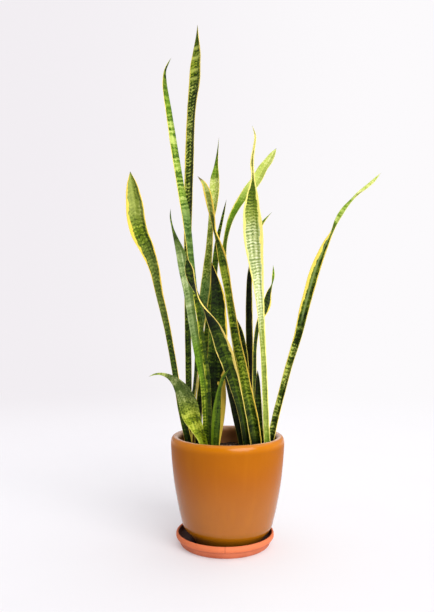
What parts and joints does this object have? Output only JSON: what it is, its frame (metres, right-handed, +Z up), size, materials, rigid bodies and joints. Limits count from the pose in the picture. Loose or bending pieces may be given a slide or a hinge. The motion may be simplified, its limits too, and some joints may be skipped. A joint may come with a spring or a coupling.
{
  "type": "potted snake plant",
  "caption": "Tall clump of sword-shaped, cross-banded leaves with yellow margins, growing in a glazed round pot that stands on a terracotta drip saucer.",
  "frame": {"origin": "centre of the saucer's underside, on the surface that the plant stands on", "axes": "+Z up; the pictured front faces -Y, with +X to the viewer's right"},
  "size_m": [0.5897, 0.36, 1.238],
  "materials": {
    "terracotta": "matte",
    "pot_glaze": "gloss",
    "soil": "matte",
    "rhizome_skin": "matte",
    "leaf": "satin",
    "dark_leaf": "satin"
  },
  "bodies": {
    "root": {"saucer": "terracotta", "pot": "pot_glaze", "soil": "soil", "rhizome_left_outer": "rhizome_skin", "rhizome_left_inner": "rhizome_skin", "rhizome_right_outer": "rhizome_skin", "rhizome_right_inner": "rhizome_skin", "rhizome_right_back": "rhizome_skin", "leaf_far_left": "leaf", "leaf_front_curl": "leaf", "leaf_tallest": "leaf", "leaf_second_tall": "leaf", "leaf_diagonal": "leaf", "leaf_left_middle": "leaf", "leaf_centre_wide": "dark_leaf", "leaf_front_small": "leaf", "leaf_centre_tall": "leaf", "leaf_centre_twist": "leaf", "leaf_short_back": "dark_leaf", "leaf_arching_dark": "dark_leaf", "leaf_shaded": "dark_leaf", "leaf_pinched": "leaf", "leaf_yellow_edged": "leaf", "leaf_small_spike": "dark_leaf", "leaf_far_right": "leaf", "leaf_upper_right": "leaf", "leaf_thin_back": "leaf"}
  },
  "joints": []
}
